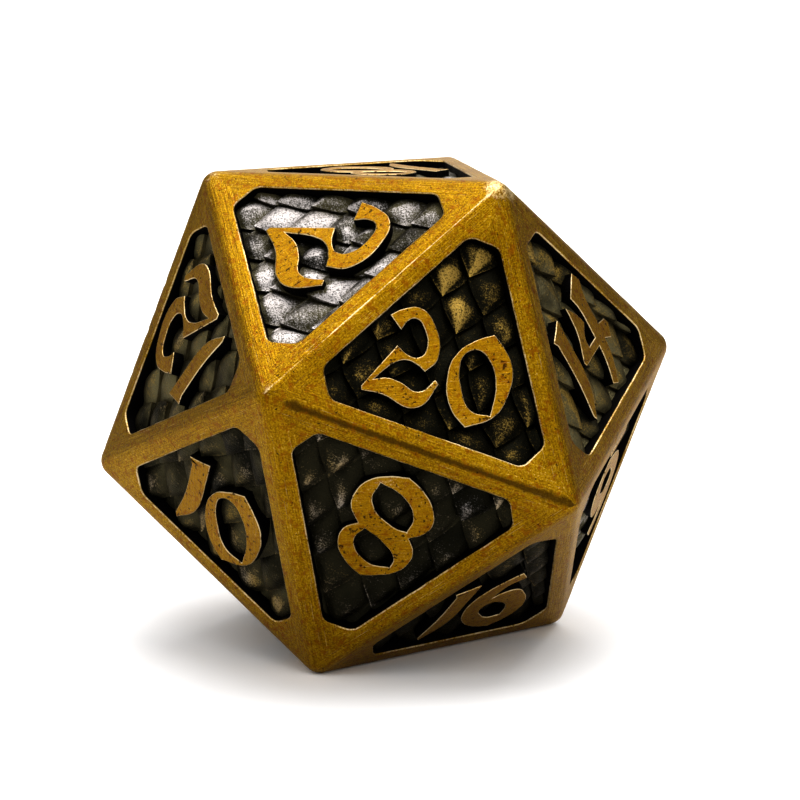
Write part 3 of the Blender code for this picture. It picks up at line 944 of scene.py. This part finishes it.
# Painted highlights: glints, bright hairlines, crests and corners, and rims
GOLD_HIGHLIGHT = (0.92, 0.74, 0.42)
GOLD_RIM_HIGHLIGHT = (0.95, 0.80, 0.50)
GOLD_TINT = (1.0, 0.97, 0.95)
TARNISH = (0.245, 0.080, 0.002)
# Dark hairlines, and dark bands on ridges that are partly stain and partly painted shade
STAIN_AND_SHADE = (0.065, 0.030, 0.003)
PIT = (0.03, 0.012, 0.003)
SOOT = (0.006, 0.005, 0.005)
PATINA_DARK = (0.009, 0.0085, 0.005)
# The paler patina stands for a painted sheen on faces seen at a glancing angle
PATINA_SHEEN = (0.170, 0.147, 0.074)
PATINA_TINT = (1.0, 0.96, 0.9)
# Bare metal: worn silver and gold. The bright silver on faces that mirror the lights is a painted reflection
WORN_SILVER_AND_REFLECTION = (0.54, 0.50, 0.48)
WORN_GOLD = (0.42, 0.285, 0.070)

# Noise as (bumps per metre, detail, roughness, distortion)
GOLD_GRAIN = (14000, 2.0, 0.6)
GOLD_BLOTCH = (3600, 4.0, 0.65)
GOLD_CLOUD = (420, 2.0)
GOLD_PITTING = (6200, 1.0, 0.5, 0.2)
PATINA_GRAIN = (17000, 2.0, 0.7)
PATINA_COARSE = (15000, 2.0)
PATINA_BLOTCH = (2600, 4.0, 0.65)
PATINA_CLOUD = (700, 2.0)

# Scratches as (turn in degrees, length, width)
FINE_SCRATCHES = (8, 1.1, 0.045)
CROSSED_SCRATCHES = (62, 1.6, 0.06)
DEEP_SCRATCHES = (-16, 2.6, 0.12)
HAIR_SCRATCHES = (52, 1.4, 0.038)
SCALE_GROOVES = (4, 1.6, 0.09)

# How high the finest relief of each metal stands
GOLD_BUMP = 0.022
PATINA_BUMP = 0.030


def plug(tree, socket, value):
    """Feeds a socket from another socket, or sets it to a constant."""
    if isinstance(value, bpy.types.NodeSocket):
        tree.links.new(value, socket)
    else:
        socket.default_value = value


def add_node(tree, kind, inputs=None, **settings):
    made = tree.nodes.new(f"ShaderNode{kind}")
    for key, value in settings.items():
        setattr(made, key, value)
    for key, value in (inputs or {}).items():
        plug(tree, made.inputs[key], value)
    return made


class Shader:
    """A node material written as nested calls."""

    def __init__(self, name):
        self.material = bpy.data.materials.new(name)
        self.material.use_nodes = True
        self.tree = self.material.node_tree

    def node(self, kind, inputs=None, **settings):
        return add_node(self.tree, kind, inputs, **settings)

    def attribute(self, name, output="Fac"):
        return self.node("Attribute", attribute_name=name).outputs[output]

    def math(self, operation, first, second, third=0.0):
        return self.node("Math", {0: first, 1: second, 2: third}, operation=operation).outputs[0]

    def total(self, start, *parts):
        """The start plus the value times the amount of each part."""
        for value, amount in parts:
            start = self.math("MULTIPLY_ADD", value, amount, start)
        return start

    def centred(self, pattern):
        """A pattern from 0 to 1 as one from -0.5 to 0.5."""
        return self.math("SUBTRACT", pattern, 0.5)

    def step(self, value, low, high):
        """0 below low, 1 above high, and smooth between. Low may be the larger."""
        inputs = {"Value": value, "From Min": low, "From Max": high}
        return self.node("MapRange", inputs, interpolation_type="SMOOTHSTEP").outputs["Result"]

    def mix(self, share, first, second):
        made = self.node("Mix", {"Factor": share}, data_type="RGBA")
        # The colours are inputs 6 and 7. The ones before them are for other kinds of mix.
        for socket, value in zip(made.inputs[6:8], (first, second)):
            plug(self.tree, socket, value if isinstance(value, bpy.types.NodeSocket) else (*value, 1))
        return made.outputs[2]

    def layered(self, base, *layers):
        """The base colour under layers of (colour, mask, how far it covers there)."""
        for colour, mask, cover in layers:
            base = self.mix(self.math("MULTIPLY", mask, cover), base, colour)
        return base

    def noise(self, vector, scale, detail=2.0, roughness=0.5, distortion=0.0):
        inputs = {"Vector": vector, "Scale": scale, "Detail": detail, "Roughness": roughness}
        return self.node("TexNoise", inputs | {"Distortion": distortion}).outputs["Fac"]

    def scratches(self, vector, turn, length, width):
        """Fine lines along the brushing, turned by an angle in degrees."""
        scale = (1 / length, 1 / width, 1)
        inputs = {"Vector": vector, "Rotation": (0, 0, math.radians(turn)), "Scale": scale}
        return self.noise(self.node("Mapping", inputs).outputs[0], 1.0, detail=3.0, roughness=0.6)

    def finish(self, inputs):
        for key, value in inputs.items():
            plug(self.tree, self.tree.nodes["Principled BSDF"].inputs[key], value)
        return self.material

    def metal(self, colour, tint, rough, height, depth):
        """A metal surface. The height is a pattern, and the depth is how far it stands out."""
        bump = self.node("Bump", {"Height": height, "Strength": 1.0, "Distance": depth * MM})
        inputs = {"Base Color": colour, "Specular Tint": (*tint, 1), "Roughness": rough, "Metallic": 1.0}
        return self.finish(inputs | {"Normal": bump.outputs[0]})


def make_gold():
    """Brushed antique gold: fine grain, scratches, rusty tarnish and dark pits, with painted highlights as
    glints, bright hairlines and bright crests, corners and rims, and dark ridge bands that are partly painted
    shade.
    """
    made = Shader("antique_gold")
    place = made.node("TexCoord").outputs["Object"]
    brush = made.attribute("brush", "Vector")
    # 'edge' is the painted rim highlight, and 'ridge' the painted light of the ridges and corners
    patina, edge, ridge, digit = [made.attribute(name) for name in ("patina", "edge", "ridge", "digit")]
    grain = made.noise(place, *GOLD_GRAIN)
    blotch = made.noise(place, *GOLD_BLOTCH)
    cloud = made.noise(place, *GOLD_CLOUD)
    fine = made.scratches(brush, *FINE_SCRATCHES)
    crossed = made.scratches(brush, *CROSSED_SCRATCHES)
    deep = made.scratches(brush, *DEEP_SCRATCHES)
    hairs = made.scratches(brush, *HAIR_SCRATCHES)
    speck = made.total(made.math("MULTIPLY", fine, 0.7), (grain, 1.3), (crossed, 0.45), (cloud, 0.4))
    uneven = made.math("MULTIPLY", made.math("ADD", blotch, grain), 0.9)

    ridge_stain_and_shade = made.total(ridge, (made.centred(blotch), 1.6))
    crest_highlight = made.total(made.math("ADD", ridge, uneven), (cloud, 1.6))
    rim_highlight = made.total(uneven, (made.centred(cloud), 1.2), (digit, 0.2), (edge, 0.8))
    pitting = made.total(made.noise(place, *GOLD_PITTING), (digit, 0.08))
    pits = made.step(pitting, 0.72, 0.79)
    black = made.step(made.total(patina, (made.centred(grain), 0.8)), 0.2, 0.55)
    # A step's numbers are the levels of its pattern where the layer starts and is full.
    colour = made.layered(
        made.mix(made.step(speck, 1.00, 1.85), GOLD_DARK, GOLD_LIGHT),
        (GOLD_ORANGE, digit, 0.4),
        # Painted glints at the top of the grain, and bright hairlines, partly scratches and partly painted
        # highlight
        (GOLD_HIGHLIGHT, made.step(speck, 1.62, 2.0), 0.4),
        (GOLD_HIGHLIGHT, made.step(hairs, 0.62, 0.74), 0.3),
        (STAIN_AND_SHADE, made.step(hairs, 0.38, 0.28), 0.35),
        (TARNISH, made.step(blotch, 0.50, 0.66), 0.75),
        # Dark bands on ridges, partly stain and partly painted shade, then painted highlights on crests,
        # corners and rims
        (STAIN_AND_SHADE, made.step(ridge_stain_and_shade, -0.15, -0.95), 0.85),
        (GOLD_HIGHLIGHT, made.step(crest_highlight, 2.2, 3.0), 1.0),
        (GOLD_RIM_HIGHLIGHT, made.step(rim_highlight, 1.35, 2.2), 0.85),
        (PIT, pits, 0.8),
        (SOOT, black, 1.0),
    )
    rough = made.total(0.24, (grain, 0.24), (fine, 0.14), (black, 0.25))
    height = made.total(grain, (fine, 0.9), (crossed, 0.7), (deep, 0.9), (pits, -1.5))
    return made.metal(colour, GOLD_TINT, rough, height, GOLD_BUMP)


def make_patina():
    """Blackened scales with a grainy metal surface showing through where they are worn, with painted glints
    on their edges, paler patina as a painted sheen, and bright silver metal as a painted reflection on some
    faces.
    """
    made = Shader("black_patina")
    place = made.node("TexCoord").outputs["Object"]
    wear_and_glint, tone, gilding, painted_sheen = [made.attribute(name) for name in ("wear_and_glint", "tone", "gilding", "painted_sheen")]
    grain = made.noise(place, *PATINA_GRAIN)
    coarse = made.noise(place, *PATINA_COARSE)
    blotch = made.noise(place, *PATINA_BLOTCH)
    cloud = made.noise(place, *PATINA_CLOUD)
    grooves = made.scratches(made.attribute("along", "Vector"), *SCALE_GROOVES)

    ragged = made.total(
        wear_and_glint, (made.centred(grain), 2.2), (made.centred(blotch), 0.9), (made.centred(grooves), 0.8)
    )
    # The bare metal is silver where gilding is low. On faces 2, 6 and 18 this silver is a painted reflection
    golden = made.total(gilding, (cloud, 0.5), (tone, 0.15))
    # Paler patina as a painted sheen, set for each face and varied at random from scale to scale
    sheen_share = made.math("MULTIPLY", made.step(made.total(cloud, (tone, 0.3)), 0.35, 0.85), painted_sheen)
    bare = made.layered(
        made.mix(made.step(golden, 0.7, 1.2), WORN_SILVER_AND_REFLECTION, WORN_GOLD),
        (PATINA_DARK, made.step(coarse, 0.52, 0.34), 0.75),
    )
    colour = made.mix(made.step(ragged, 0.25, 1.35), made.mix(sheen_share, PATINA_DARK, PATINA_SHEEN), bare)
    rough = made.total(0.30, (grain, 0.25))
    height = made.total(grain, (blotch, 0.8), (coarse, 0.7), (grooves, 0.7))
    return made.metal(colour, PATINA_TINT, rough, height, PATINA_BUMP)


# ---- stage


def add_floor():
    """A plain white table top, wide enough to fill the view."""
    mesh = bpy.data.meshes.new("floor")
    half = FLOOR_HALF_WIDTH
    corners = [(-half, -half, 0), (half, -half, 0), (half, half, 0), (-half, half, 0)]
    mesh.from_pydata(corners, [], [(0, 1, 2, 3)])
    made = Shader("table_top")
    seen = made.node("LightPath").outputs["Is Camera Ray"]
    colour = made.mix(seen, FLOOR_BOUNCE, FLOOR_SEEN)
    mesh.materials.append(made.finish({"Base Color": colour, "Roughness": 0.7}))
    floor = bpy.data.objects.new("floor", mesh)
    floor.location.z = cad_low.z - FLOOR_GAP * MM
    bpy.context.scene.collection.objects.link(floor)


def add_sun(name, azimuth, elevation, strength, spread):
    """A soft light very far away, whose disc is as wide as its spread in degrees."""
    lamp = bpy.data.lights.new(name, "SUN")
    lamp.energy = strength
    lamp.angle = math.radians(spread)
    holder = bpy.data.objects.new(name, lamp)
    holder.rotation_euler = direction(azimuth, elevation).to_track_quat("Z", "Y").to_euler()
    bpy.context.scene.collection.objects.link(holder)


def ramp(tree, value, start, end, low, high):
    """Low before the start, high beyond the end, and even between."""
    inputs = {"Value": value, "From Min": start, "From Max": end, "To Min": low, "To Max": high}
    return add_node(tree, "MapRange", inputs).outputs["Result"]


def add_world():
    """A white studio: brightest overhead, dim at the sides, with a lit backdrop behind the die."""
    world = bpy.data.worlds.new("studio")
    world.use_nodes = True
    bpy.context.scene.world = world
    tree = world.node_tree
    way = add_node(tree, "TexCoord").outputs["Generated"]
    height = add_node(tree, "SeparateXYZ", {0: way}).outputs["Z"]
    overhead = ramp(tree, height, *TOP_HEIGHTS, SIDE_LIGHT, TOP_LIGHT)
    away = direction(CAMERA_AZIMUTH + 180, 0)
    facing = add_node(tree, "VectorMath", {0: way, 1: away}, operation="DOT_PRODUCT").outputs["Value"]
    behind = ramp(tree, facing, *BACK_EDGES, 0.0, BACK_LIGHT)
    lit = add_node(tree, "Math", {0: overhead, 1: behind}, operation="ADD").outputs[0]
    seen = add_node(tree, "LightPath").outputs["Is Camera Ray"]
    strength = add_node(tree, "Mix", {"Factor": seen, "A": lit, "B": 1.0}).outputs["Result"]
    background = tree.nodes["Background"].inputs
    plug(tree, background["Strength"], strength)
    plug(tree, background["Color"], (1, 1, 1, 1))


def add_camera():
    """The camera, aimed a little to the right of the die and above its centre."""
    lens = bpy.data.cameras.new("camera")
    lens.lens = CAMERA_LENS
    lens.sensor_width = CAMERA_SENSOR
    lens.clip_start, lens.clip_end = CAMERA_CLIP
    camera = bpy.data.objects.new("camera", lens)
    back = direction(CAMERA_AZIMUTH, CAMERA_ELEVATION)
    centre = Vector((0, 0, FACE_TO_FACE / 2))
    right = Vector((0, 0, 1)).cross(back).normalized()
    place = centre + back * CAMERA_DISTANCE
    aim = centre + right * AIM_RIGHT + back.cross(right) * AIM_UP
    camera.location = place * MM
    camera.rotation_euler = (place - aim).to_track_quat("Z", "Y").to_euler()
    bpy.context.scene.collection.objects.link(camera)
    bpy.context.scene.camera = camera


DIGITS["9"] = turned_over(DIGITS["6"])
gold = make_gold()
black = make_patina()
add_body(gold)
for face_number in sorted(FACES):
    raised_outlines = outlines_on(face_number)
    add_panel(face_number, raised_outlines, black)
    for cad_node, node_outlines in raised_outlines.items():
        add_numeral(face_number, cad_node, node_outlines, gold)
add_floor()
add_world()
for sun_name, sun_settings in SUNS.items():
    add_sun(sun_name, *sun_settings)
add_camera()
view = bpy.context.scene.view_settings
view.view_transform = "Standard"
view.exposure = EXPOSURE
view.gamma = GAMMA
